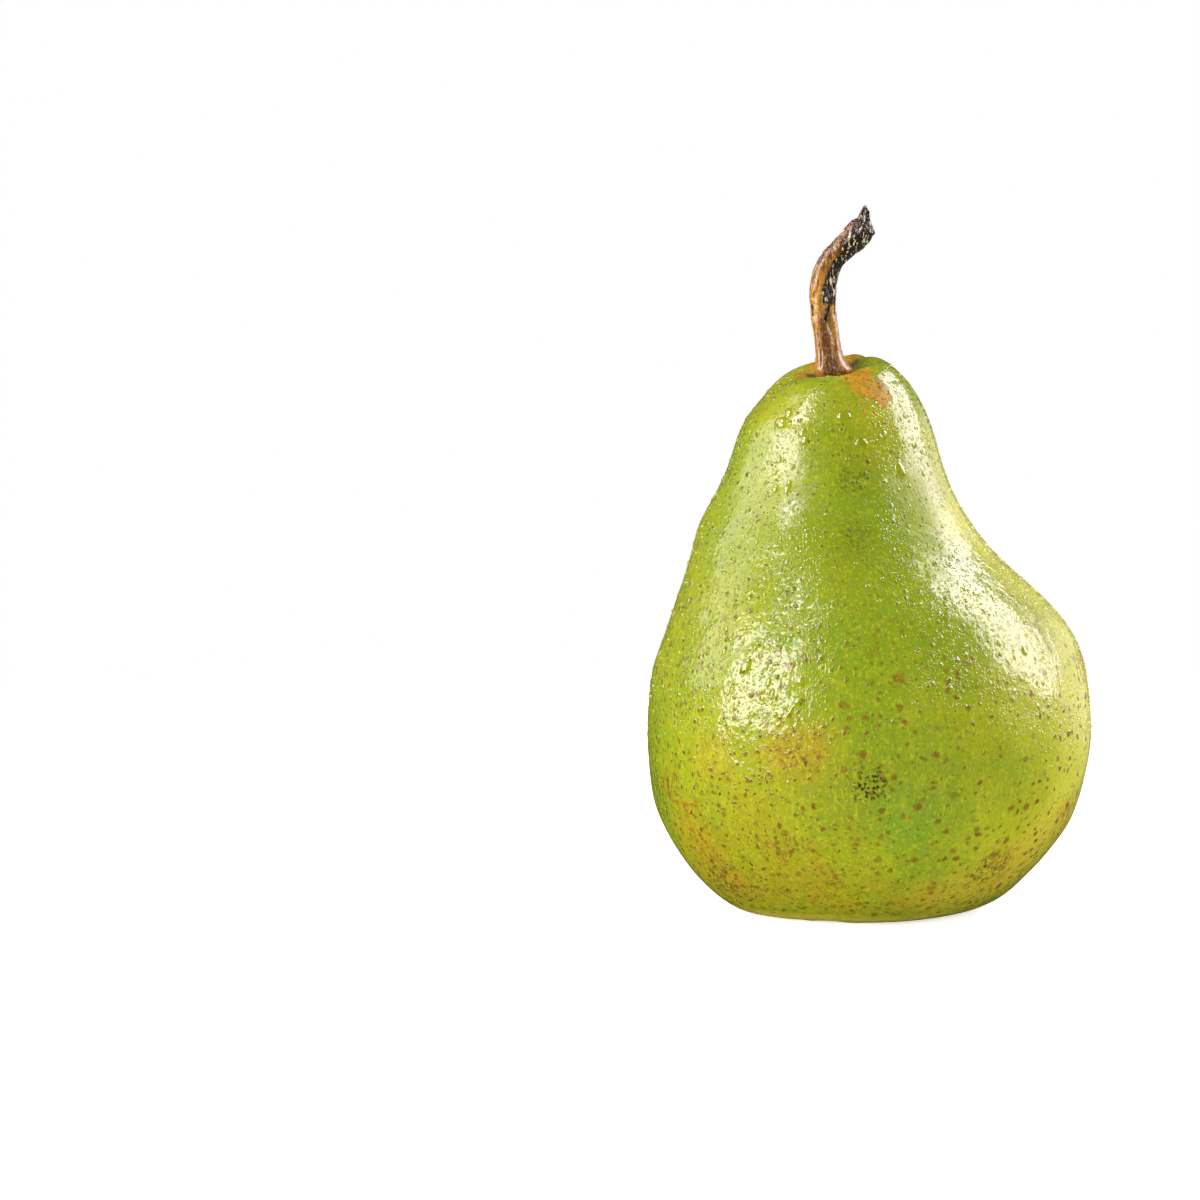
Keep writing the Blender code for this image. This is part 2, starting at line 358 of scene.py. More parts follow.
skinColours = {
    "green": (0.228, 0.270, 0.004),
    # deep green: the skin's own darker tone in the mottling, and painted shade in the patches down the front
    # middle and on the left flank
    "deepGreenAndShade": (0.140, 0.224, 0.006),
    "yellowGreen": (0.325, 0.355, 0.008),
    "gold": (0.325, 0.30, 0.006),
    "blush": (0.325, 0.215, 0.010),
    "bluish": (0.125, 0.245, 0.010),
    "olive": (0.175, 0.20, 0.005),
    "straw": (0.41, 0.40, 0.014),
    # pale and cream: painted light on the right flank and under the highlight at the left of the neck, partly
    # the skin's own paler tone
    "paleAndPaintedLight": (0.47, 0.475, 0.045),
    "creamAndPaintedLight": (0.60, 0.61, 0.10),
    "tan": (0.47, 0.38, 0.03),
    "rust": (0.25, 0.165, 0.006),
    "russet": (0.41, 0.235, 0.008),
    "darkRusset": (0.27, 0.135, 0.006),
    "speck": (0.085, 0.048, 0.003),
    "freckle": (0.15, 0.075, 0.005),
    "netting": (0.16, 0.085, 0.007),
    "blotch": (0.34, 0.19, 0.010),
    "soot": (0.03, 0.026, 0.005),
    # crease: painted shade for the folds beside the stem's foot
    "crease": (0.03, 0.05, 0.006),
    # foot: painted light, the colour of the ring that lightens the shaded base
    "foot": (0.55, 0.46, 0.05),
    # painted shade: the darker green of skin seen through a drop
    "shadeUnderDrops": (0.10, 0.14, 0.002),
}

# where a colour lies on the skin: middle, reach, colour and strength; the deep green patches down the front
# middle, low on the front and on the left flank are painted shade, the pale and cream patches on the right
# flank and at the left of the neck are painted light, partly the skin's own paler tone, and the last tan
# patch is painted light on the front of the base
skinPatches = (
    # painted shade: deep green down the front middle, where less light falls
    ((-2.0, -19.0, 62.0), 17, "deepGreenAndShade", 0.95),
    ((-3.8, -27.0, 53.0), 9, "deepGreenAndShade", 0.4),
    ((7.0, -30.0, 46.0), 20, "deepGreenAndShade", 0.72),
    # painted shade on the left flank
    ((-31.0, -17.0, 34.0), 20, "deepGreenAndShade", 0.27),
    # painted shade low on the front middle, in deep green and olive
    ((-4.0, -35.0, 22.5), 13, "deepGreenAndShade", 0.5),
    ((-4.0, -35.0, 22.5), 11, "olive", 0.4),
    ((3.5, -34.0, 18.5), 9, "bluish", 0.75),
    ((-5.5, -22.0, 60.0), 7, "olive", 0.4),
    ((-4.5, -26.0, 52.5), 6, "olive", 0.3),
    ((-4.0, -14.0, 73.0), 6, "olive", 0.35),
    ((34.0, -8.0, 30.0), 24, "yellowGreen", 0.95),
    ((4.0, -10.0, 77.0), 11, "yellowGreen", 0.5),
    ((-16.0, 30.0, 38.0), 26, "yellowGreen", 0.6),
    ((14.0, 32.0, 20.0), 20, "deepGreenAndShade", 0.6),
    ((-20.0, -29.0, 19.0), 15, "gold", 0.4),
    ((-19.0, -29.0, 18.0), 9, "rust", 0.25),
    ((-24.0, -19.0, 10.0), 12, "rust", 0.55),
    ((-12.0, -27.0, 8.0), 9, "rust", 0.35),
    ((-22.5, -20.4, 9.0), 10, "olive", 0.4),
    ((24.0, -22.0, 13.0), 13, "gold", 0.4),
    ((10.0, -34.0, 34.0), 12, "yellowGreen", 0.35),
    ((17.0, -28.0, 17.0), 12, "yellowGreen", 0.55),
    # painted light under the highlight at the left of the neck
    ((-18.0, -11.0, 68.0), 11, "paleAndPaintedLight", 0.2),
    ((-15.0, -8.0, 80.0), 8, "yellowGreen", 0.5),
    # painted light, partly the skin's own paler tone: pale and cream brighten the right flank
    ((13.0, -3.0, 72.0), 10, "paleAndPaintedLight", 0.6),
    ((13.0, -9.0, 62.0), 9, "paleAndPaintedLight", 0.6),
    ((17.0, -3.0, 61.0), 11, "creamAndPaintedLight", 0.7),
    ((23.0, -8.0, 54.0), 11, "creamAndPaintedLight", 0.6),
    ((19.0, -22.0, 46.0), 13, "paleAndPaintedLight", 0.3),
    ((28.0, -6.0, 48.0), 14, "creamAndPaintedLight", 0.6),
    ((34.0, -8.0, 34.0), 17, "paleAndPaintedLight", 0.75),
    ((24.0, -25.0, 34.0), 13, "paleAndPaintedLight", 0.3),
    ((30.0, -15.0, 20.0), 14, "paleAndPaintedLight", 0.6),
    ((26.0, -16.0, 11.0), 13, "tan", 0.6),
    ((18.0, -20.0, 7.0), 12, "tan", 0.5),
    # painted light: this tan patch lightens the front of the base where it lies in shade
    ((9.0, -24.0, 6.0), 8, "tan", 0.35),
    ((-13.0, -34.0, 28.5), 8, "blush", 0.55),
    ((-25.0, -25.0, 27.0), 6, "blush", 0.4),
    ((-29.0, -16.0, 14.0), 7, "blush", 0.35),
)

# wander is the width and amount of the noise that makes a zone ragged, core the share of each spot's
# reach that has its full strength, and a spot has its middle, its reach and perhaps its strength
skinZones = {
    "russet": {  # round the stem, with a tongue down the right front
        "wander": (3.0, 2.6),
        "core": 0.45,
        "spots": (
            ((-6.2, 1.2, 85.2), 7.0),
            ((-2.6, -6.3, 85.4), 3.8),
            ((-0.4, -8.0, 83.9), 3.5),
            ((1.2, -9.0, 82.2), 2.3),
            ((-6.0, 7.0, 88.5), 6.0),
        ),
    },
    "bare": {  # no russet at the front of the rim
        "wander": (3.0, 2.6),
        "core": 0.5,
        "spots": (((-9.5, -8.0, 85.0), 6.5), ((-11.5, -3.2, 85.0), 5.2)),
    },
    "spatter": {"wander": (4.0, 3.0), "core": 0.1, "spots": (((1.0, -9.0, 79.5), 12.0),)},
    "smears": {"wander": (4.0, 3.0), "core": 0.3, "spots": (((-2.5, -10.0, 81.5), 6.5),)},
    "creases": {  # painted shade: dark, in the creases beside the stem's foot
        "wander": (1.2, 0.7),
        "core": 0.3,
        "spots": (((-3.2, 5.1, 86.6), 1.7), ((-2.2, 5.2, 87.4), 1.4), ((-9.4, 3.4, 85.1), 1.7)),
    },
    "netting": {  # where the brown netting is thickest
        "wander": (5.0, 4.0),
        "core": 0.35,
        "spots": (
            ((-32.0, -15.6, 21.6), 5.0),
            ((-29.2, -19.2, 17.5), 4.5),
            ((-26.8, -19.0, 12.5), 6.0),
            ((-24.0, -16.0, 8.0), 9.0),
            ((-14.0, -29.4, 13.1), 6.0),
            ((-13.0, -33.5, 28.5), 6.0),
            ((-8.0, -30.0, 9.5), 5.0),
            ((18.0, -22.0, 7.0), 9.0),
            ((30.0, -12.0, 15.0), 7.0),
            ((-10.0, 30.0, 12.0), 12.0),
        ),
    },
    "soot": {  # clusters of fine dark specks
        "wander": (2.0, 1.8),
        "core": 0.4,
        "spots": (
            ((-2.0, -35.7, 23.9), 4.2, 1.0),
            ((-34.0, -10.0, 20.9), 4.0, 0.7),
            ((-23.6, -16.3, 6.3), 6.0, 0.7),
            ((17.8, -23.2, 9.9), 5.0, 0.7),
            ((-3.9, -16.0, 69.0), 3.5, 0.5),
            ((-3.4, -21.5, 61.0), 4.5, 0.4),
            ((1.5, -24.5, 57.0), 5.0, 0.25),
            ((20.0, 28.0, 30.0), 5.0, 0.7),
        ),
    },
    "haze": {  # where the bloom is thick enough to blur the lights
        "wander": (6.0, 4.0),
        "core": 0.4,
        "spots": (
            ((9.0, -12.0, 67.0), 11.0, 1.0),
            ((-16.0, -12.0, 69.0), 13.0, 0.5),
            ((24.0, -22.0, 42.0), 14.0, 0.35),
        ),
    },
    "dull": {  # where some of the shine is gone
        "wander": (3.0, 2.0),
        "core": 0.3,
        "spots": (
            ((5.7, -13.9, 67.2), 5.0, 0.6),
            ((6.6, -15.6, 63.6), 5.5, 0.75),
            ((7.3, -17.9, 60.0), 5.5, 0.75),
            ((8.4, -20.8, 56.6), 4.5, 0.5),
            ((-20.6, -17.5, 57.2), 8.0, 0.3),
            ((-20.3, -21.7, 51.2), 8.0, 0.3),
        ),
    },
}

# the marks on the skin: cell, radius, chance, strength, softness and colour
freckleKinds = (
    (7.0, 1.35, 0.4, 0.75, 0.8, "freckle"),
    (2.9, 0.90, 0.8, 0.9, 0.6, "freckle"),
    (1.7, 0.66, 0.85, 0.95, 0.5, "freckle"),
    (1.3, 0.40, 0.7, 0.9, 0.5, "speck"),
    (0.8, 0.26, 0.85, 0.9, 0.5, "speck"),
)


# width, detail and roughness of each noise
skinPatterns = {
    "shade": (22.0, 3.0, 0.5),
    "mottle": (2.6, 4.0, 0.6),
    "streaks": (1.3, 3.0, 0.6),
    "sand": (0.42, 2.0, 0.6),
    "russetEdge": (0.9, 4.0, 0.65),
    "russetStreaks": (1.6, 4.0, 0.6),
    "smears": (1.1, 4.0, 0.7),
    "net": (1.1, 5.0, 0.75),
    "blotches": (4.5, 4.0, 0.65),
    "smudges": (0.8, 4.0, 0.7),
    "wax": (0.4, 3.0, 0.5),
    "waves": (2.2, 2.0, 0.5),
}

# how far the patches and marks wander, and how their patterns are drawn out upwards
skinWander = {
    "patches": (7.0, 4.0),
    "marks": (1.6, 0.6),
    "markEdges": (0.45, 0.28),
    "net": (2.0, 1.5),
    "sootSpecks": (0.4, 0.3),
}
skinRises = {"streaks": 0.22, "sand": 0.6, "net": 0.7, "baseFlecks": 2.2}

# start and end of each band in its noise, height or place, and the strengths there
skinBands = {
    "shade": (0.35, 0.7),
    "lightMottle": (0.5, 0.8, 0.0, 0.45),
    "darkMottle": (0.5, 0.2, 0.0, 0.5),
    "streaks": (0.52, 0.72, 0.0, 0.28),
    "streakHeights": (55.0, 20.0, 0.35, 1.0),
    "lightSand": (0.52, 0.68, 0.0, 0.5),
    "darkSand": (0.44, 0.30, 0.0, 0.5),
    "russetEdge": (0.3, 0.7, -0.35, 0.35),
    "russet": (0.35, 0.62),
    "russetStreaks": (0.35, 0.7),
    "smears": (0.52, 0.62, 0.0, 0.8),
    "netHeights": (13.0, 3.0, 0.0, 0.85),
    "blotches": (0.46, 0.62, 0.0, 0.5),
    "net": (0.51, 0.60),
    "freckleHeights": (64.0, 34.0),
    "freckleSides": (20.0, 30.0, 1.0, 1.35),
    "speckSides": (-6.0, -22.0, 0.7, 1.35),
    "speckHeights": (50.0, 66.0, 1.0, 1.3),
    "smudges": (0.56, 0.64),
    "baseFleckHeights": (14.0, 3.0, 0.0, 0.7),
    "footLightHeights": (2.2, 0.6, 0.0, 0.6),
    "footLightRadii": (18.0, 21.0),
    "wax": (0.44, 0.56, 0.08, 0.22),
    "waves": (0.3, 0.7),
    "waveHeights": (50.0, 62.0, 0.075, 0.035),
}

# cell, radius and chance, and softness where it isn't the usual one
skinFlecks = {"russet": (0.8, 0.36, 0.8), "soot": (0.6, 0.43, 0.95, 0.5), "base": (0.95, 0.34, 0.75)}

skinStrengths = {"russet": 0.93, "creases": 0.85, "netting": 0.8, "shadeUnderDrops": 0.25, "weakestFreckle": 0.6}

skinGloss = {
    "rougher": {"russet": 0.16, "creases": 0.6, "haze": 0.22},
    "shine": 0.5,
    "shineLost": 0.38,  # on the russet
    "bend": 1.75,  # the index of refraction
    "glow": 0.2,
    "glowColour": (1.0, 0.9, 0.25),
    "glowDepth": 2,
    "mist": ((0.5, 0.25, 0.9, 0.135), (1.3, 0.55, 0.7, 0.23)),  # cell, radius, chance and rise
    "mistLost": 0.8,  # in the haze
    "freckleRise": 0.05,
}


def band(tree, value, name):
    return fromTo(tree, value, *skinBands[name])


def pattern(tree, place, name):
    # soft noise, drawn out upwards and kept to a band where the tables have one of its name
    if name in skinRises:
        place = upright(tree, place, skinRises[name])
    value = clouds(tree, place, *skinPatterns[name])[0]
    return band(tree, value, name) if name in skinBands else value


def skinColour(tree, place, height):
    ragged = nudged(tree, place, *skinWander["patches"])
    shade = pattern(tree, place, "shade")
    colour = paint(tree, shade, skinColours["green"], skinColours["deepGreenAndShade"])
    for middle, reach, name, strength in skinPatches:
        share = times(tree, nearTo(tree, ragged, middle, reach), strength)
        colour = paint(tree, share, colour, skinColours[name])
    # mottling, streaks down the fruit and a sandy grain
    mottle = pattern(tree, place, "mottle")
    colour = paint(tree, band(tree, mottle, "lightMottle"), colour, skinColours["yellowGreen"])
    colour = paint(tree, band(tree, mottle, "darkMottle"), colour, skinColours["deepGreenAndShade"])
    streaks = times(tree, pattern(tree, place, "streaks"), band(tree, height, "streakHeights"))
    colour = paint(tree, streaks, colour, skinColours["straw"])
    sand = pattern(tree, place, "sand")
    colour = paint(tree, band(tree, sand, "lightSand"), colour, skinColours["straw"])
    return paint(tree, band(tree, sand, "darkSand"), colour, skinColours["olive"])


def russetShare(tree, place):
    breaks = pattern(tree, place, "russetEdge")
    share = plus(tree, zoneShare(tree, place, skinZones["russet"]), breaks)
    bare = zoneShare(tree, place, skinZones["bare"])
    return less(tree, band(tree, share, "russet"), bare, clamp=True)


def withRusset(tree, place, ragged, russet, colour):
    # the russet itself, then smears and flecks that spread from it
    streaks = pattern(tree, place, "russetStreaks")
    russetColour = paint(tree, streaks, skinColours["darkRusset"], skinColours["russet"])
    colour = paint(tree, times(tree, russet, skinStrengths["russet"]), colour, russetColour)
    smears = pattern(tree, place, "smears")
    close = zoneShare(tree, place, skinZones["smears"])
    colour = paint(tree, times(tree, smears, close), colour, skinColours["russet"])
    flecks = dots(tree, ragged, *skinFlecks["russet"])[0]
    spread = larger(tree, zoneShare(tree, place, skinZones["spatter"]), close)
    return paint(tree, times(tree, flecks, spread), colour, skinColours["darkRusset"])


def withNetting(tree, place, height, colour):
    # brown netting and blotches towards the base and up the lower left
    zone = zoneShare(tree, place, skinZones["netting"], band(tree, height, "netHeights"))
    blotches = pattern(tree, place, "blotches")
    colour = paint(tree, times(tree, blotches, zone), colour, skinColours["blotch"])
    net = pattern(tree, nudged(tree, place, *skinWander["net"]), "net")
    share = times(tree, net, zone)
    return paint(tree, times(tree, share, skinStrengths["netting"]), colour, skinColours["netting"])


def withFreckles(tree, ragged, across, height, colour):
    # large soft freckles low on the fruit, small dark specks all over and most at the left
    lower = times(tree, band(tree, height, "freckleHeights"), band(tree, across, "freckleSides"))
    side = times(tree, band(tree, across, "speckSides"), band(tree, height, "speckHeights"))
    raised = 0.0
    for cell, radius, chance, strength, softness, name in freckleKinds:
        mark, luck = dots(tree, ragged, cell, radius, chance, softness)
        weakest = strength * skinStrengths["weakestFreckle"]
        share = times(tree, mark, fromTo(tree, luck, 0.0, 1.0, weakest, strength))
        share = times(tree, share, lower if name == "freckle" else side)
        colour = paint(tree, share, colour, skinColours[name])
        raised = larger(tree, raised, share)
    return colour, raised


def withSoot(tree, place, colour):
    fine = nudged(tree, place, *skinWander["sootSpecks"])
    specks = dots(tree, fine, *skinFlecks["soot"])[0]
    specks = larger(tree, specks, pattern(tree, place, "smudges"))
    soot = skinZones["soot"]
    ragged = nudged(tree, place, *soot["wander"])
    for middle, reach, strength in soot["spots"]:
        zone = nearTo(tree, ragged, middle, reach, soot["core"])
        share = times(tree, times(tree, specks, zone), strength)
        colour = paint(tree, share, colour, skinColours["soot"])
    return colour


def withBase(tree, place, ragged, height, colour):
    # brown flecks towards the base, and a pale ring where the fruit stands, painted light that lifts the
    # shade near the floor
    flecks = dots(tree, upright(tree, ragged, skinRises["baseFlecks"]), *skinFlecks["base"])[0]
    flecks = times(tree, flecks, band(tree, height, "baseFleckHeights"))
    colour = paint(tree, flecks, colour, skinColours["darkRusset"])
    fromAxis = vectors(tree, "LENGTH", {0: upright(tree, place, 0.0)})["Value"]
    # painted light round the base where it stands in shade
    foot = times(tree, band(tree, height, "footLightHeights"), band(tree, fromAxis, "footLightRadii"))
    return paint(tree, foot, colour, skinColours["foot"])


def addGloss(tree, place, shader, russet, creases, haze, underWater):
    # wet skin with grains of dull wax, rougher on the russet, in the creases and in the haze
    rougher = skinGloss["rougher"]
    rough = pattern(tree, place, "wax")
    rough = plus(tree, rough, times(tree, russet, rougher["russet"]))
    rough = plus(tree, rough, times(tree, creases, rougher["creases"]), clamp=True)
    rough = plus(tree, rough, times(tree, haze, rougher["haze"]))
    tree.links.new(rough, shader.inputs["Roughness"])
    shine = less(tree, skinGloss["shine"], times(tree, russet, skinGloss["shineLost"]))
    shine = times(tree, shine, less(tree, 1.0, zoneShare(tree, place, skinZones["dull"])))
    shine = times(tree, shine, less(tree, 1.0, underWater))
    tree.links.new(shine, shader.inputs["Specular IOR Level"])
    shader.inputs["IOR"].default_value = skinGloss["bend"]
    shader.inputs["Subsurface Weight"].default_value = skinGloss["glow"]
    shader.inputs["Subsurface Radius"].default_value = skinGloss["glowColour"]
    shader.inputs["Subsurface Scale"].default_value = skinGloss["glowDepth"] * mm


def skinRelief(tree, place, height, raised, haze):
    # droplets too small to model, waves in the skin, and raised freckles
    damp = less(tree, 1.0, times(tree, haze, skinGloss["mistLost"]))
    damp = times(tree, valuesOf(tree, "dewShare"), damp)
    fine, coarse = (domes(tree, place, *kind) for kind in skinGloss["mist"])
    relief = times(tree, plus(tree, fine, coarse), damp)
    waves = pattern(tree, place, "waves")
    relief = plus(tree, relief, times(tree, waves, band(tree, height, "waveHeights")))
    return plus(tree, relief, times(tree, raised, skinGloss["freckleRise"]))


def skinMaterial():
    material, tree, shader = newMaterial("pear_skin")
    place = placeInMillimetres(tree)
    axes = add(tree, "ShaderNodeSeparateXYZ", {0: place}).outputs
    across, height = axes[0], axes[2]
    ragged = nudged(tree, nudged(tree, place, *skinWander["marks"]), *skinWander["markEdges"])
    russet = russetShare(tree, place)
    creases = zoneShare(tree, place, skinZones["creases"])
    haze = zoneShare(tree, place, skinZones["haze"])
    underWater = add(tree, "ShaderNodeLightPath").outputs["Is Transmission Ray"]
    colour = skinColour(tree, place, height)
    colour = withRusset(tree, place, ragged, russet, colour)
    # painted shade darkens the creases beside the stem's foot
    colour = paint(tree, times(tree, creases, skinStrengths["creases"]), colour, skinColours["crease"])
    colour = withNetting(tree, place, height, colour)
    colour, raised = withFreckles(tree, ragged, across, height, colour)
    colour = withSoot(tree, place, colour)
    colour = withBase(tree, place, ragged, height, colour)
    # painted shade: the skin seen through a drop is darkened
    colour = paint(tree, times(tree, underWater, skinStrengths["shadeUnderDrops"]), colour, skinColours["shadeUnderDrops"])
    tree.links.new(colour, shader.inputs["Base Color"])
    addGloss(tree, place, shader, russet, creases, haze, underWater)
    raiseBy(tree, shader, skinRelief(tree, place, height, raised, haze))
    return material


def makeSkin():
    print("skin: a smooth copy of the fruit with soft unevenness")
    skin = copyOfNode("fruit", "pearSkin")
    subdivide(skin, skinShape["levels"])
    places, normals = placesOf(skin), normalsOf(skin)
    free = ramp(skinShape["flatBelow"], skinShape["flatUntil"], places[:, 2])
    for width, depth in skinShape["dimples"]:
        places += normals * (noiseAt(places / width) * depth * free)[:, None]
    for middle, reach, push in skinShape["pushes"]:
        away = np.linalg.norm(places - np.array(middle), axis=1)
        places += ramp(reach, 0.0, away)[:, None] * np.array(push)
    places[:, 2] = np.maximum(places[:, 2], 0.0)
    movePlaces(skin, places)
    return dress(skin, skinMaterial(), "skin", ["fruit"])


# Stem

stemShape = {
    # the line up the middle of the stem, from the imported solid's foot
    "line": (
        (0, 0, 79.4), (0, 0, 86), (-0.35, 0, 88.4), (-0.75, 0.1, 91.6),
        (-1.2, 0.25, 95.5), (-1.3, 0.35, 99), (-0.7, 0.35, 102.2), (0.3, 0.2, 104.2),
        (1.5, 0, 105.4), (3, -0.2, 106.8), (4.4, -0.4, 108.2), (5.5, -0.5, 109.4),
    ),
    "voxel": 0.12,
    "smoothings": 4,
    "knobs": (  # place from the foot, and radius, of the lumps on the broken end
        ((4.7, -0.5, 108.6), 1.95),
        ((6.0, -0.6, 108.4), 0.95),
        ((3.5, -1.6, 108.3), 0.8),
        ((5.6, 0.8, 108.9), 0.9),
    ),
    "collar": (86.3, 0.9, 0.05, 0.9),  # height, reach, and how far it stands out at the left and at the right
    "darkSide": (0.93, -0.10, -0.35),
    "spike": {"foot": (5.1, -0.5, 109.6), "tip": (5.3, -0.6, 112.6), "radius": 1.3, "tipRadius": 0.16},
    "swells": ((3, 0.12, 0.3), (7, 0.05, -0.5)),  # count, height, turns over the stem
    # direction at the start, turn for each millimetre, depth, width, and the heights of start and end
    "furrows": (
        (-1.9, 0.11, 0.34, 0.20, 90.5, 100.0),
        (-1.25, 0.02, 0.26, 0.16, 98.0, 112.0),
        (-0.55, 0.0, 0.26, 0.16, 94.0, 112.0),
        (-2.1, 0.01, 0.14, 0.10, 86.0, 94.0),
        (-2.6, 0.0, 0.12, 0.12, 90.0, 107.0),
        (0.3, 0.0, 0.25, 0.2, 95.0, 112.0),
        (1.6, 0.0, 0.3, 0.2, 88.0, 108.0),
        (2.5, 0.0, 0.2, 0.15, 93.0, 112.0),
    ),
}


stemColours = {
    "darkFibre": (0.17, 0.066, 0.005),
    "lightFibre": (0.43, 0.205, 0.012),
    "gold": (0.44, 0.24, 0.02),
    "brown": (0.085, 0.026, 0.003),
    "black": (0.012, 0.010, 0.006),
    # painted highlight: the colour of the glints painted on the bark
    "paintedGlint": (0.70, 0.60, 0.33),
}


def stemMaterial():
    material, tree, shader = newMaterial("stem_bark")
    place = placeInMillimetres(tree)
    height = add(tree, "ShaderNodeSeparateXYZ", {0: place}).outputs[2]
    along = upright(tree, place, 0.22)
    age = valuesOf(tree, "age")
    fibre = clouds(tree, along, 0.5, 4.0, 0.6)[0]
    light = fromTo(tree, fibre, 0.35, 0.65)
    colour = paint(tree, light, stemColours["darkFibre"], stemColours["lightFibre"])
    gold = clouds(tree, upright(tree, place, 0.4), 2.2, 3.0)[0]
    colour = paint(tree, fromTo(tree, gold, 0.5, 0.68, 0.0, 0.6), colour, stemColours["gold"])
    # a brown heart low on the front, brown all round towards the head
    brown = larger(tree, valuesOf(tree, "heart"), fromTo(tree, height, 99.0, 107.0, 0.0, 0.75))
    brown = plus(tree, brown, fromTo(tree, fibre, 0.3, 0.7, -0.4, 0.4))
    colour = paint(tree, fromTo(tree, brown, 0.2, 0.8, 0.0, 0.9), colour, stemColours["brown"])
    # black where it is old, and black in the furrows as painted shade, partly the bark's own dark; pale
    # streaks on the black are painted glints, painted highlights of the wet bark
    edge = fromTo(tree, clouds(tree, along, 1.0, 4.0, 0.7)[0], 0.3, 0.7, -0.3, 0.3)
    black = fromTo(tree, plus(tree, age, edge), 0.4, 0.6)
    # painted shade in the furrows
    black = larger(tree, black, fromTo(tree, valuesOf(tree, "furrowShade"), 0.35, 0.8))
    colour = paint(tree, times(tree, black, 0.96), colour, stemColours["black"])
    paintedGlint = clouds(tree, upright(tree, place, 0.3), 0.42, 3.0, 0.6)[0]
    paleAndPaintedLight = times(tree, fromTo(tree, paintedGlint, 0.57, 0.63), larger(tree, age, 0.25))
    colour = paint(tree, times(tree, paleAndPaintedLight, 0.85), colour, stemColours["paintedGlint"])
    tree.links.new(colour, shader.inputs["Base Color"])
    tree.links.new(fromTo(tree, fibre, 0.3, 0.7, 0.14, 0.3), shader.inputs["Roughness"])
    shader.inputs["Coat Weight"].default_value = 0.7
    shader.inputs["Coat Roughness"].default_value = 0.06
    bumps = fromTo(tree, clouds(tree, place, 0.5, 3.0)[0], 0.3, 0.7, 0.0, 0.07)
    relief = plus(tree, fromTo(tree, fibre, 0.25, 0.75, 0.0, 0.07), bumps)
    relief = plus(tree, relief, domes(tree, place, 0.7, 0.3, 0.7, 0.16))
    raiseBy(tree, shader, relief)
    return material


def stemFoot():
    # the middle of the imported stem's lowest slice, seen from above, in millimetres
    places = placesOf(frame["nodes"]["stem"])
    lowest = places[places[:, 2] < places[:, 2].min() + 0.5]
    middle = (lowest.min(0) + lowest.max(0)) / 2
    return Vector((middle[0], middle[1], 0.0))


def stemLine(foot):
    # the middle line in the pear's own place, as many short steps
    points = [Vector(place) + foot for place in stemShape["line"]]
    steps = []
    for start, end in zip(points, points[1:]):
        for share in np.arange(0, 1, 0.1):
            steps.append(start.lerp(end, float(share)))
    return np.array([tuple(step) for step in steps + [points[-1]]])


def stemLumps(foot):
    # the knobs and the spike of the broken end
    lumps = []
    for place, radius in stemShape["knobs"]:
        deselectAll()
        middle = (Vector(place) + foot) * mm
        bpy.ops.mesh.primitive_ico_sphere_add(subdivisions=3, radius=radius * mm, location=middle)
        lumps.append(bpy.context.object)
    spike = stemShape["spike"]
    start, tip = Vector(spike["foot"]) + foot, Vector(spike["tip"]) + foot
    deselectAll()
    bpy.ops.mesh.primitive_cone_add(
        vertices=24,
        radius1=spike["radius"] * mm,
        radius2=spike["tipRadius"] * mm,
        depth=(tip - start).length * mm,
        location=(start + tip) / 2 * mm,
        rotation=(tip - start).to_track_quat("Z", "Y").to_euler(),
    )
    return lumps + [bpy.context.object]


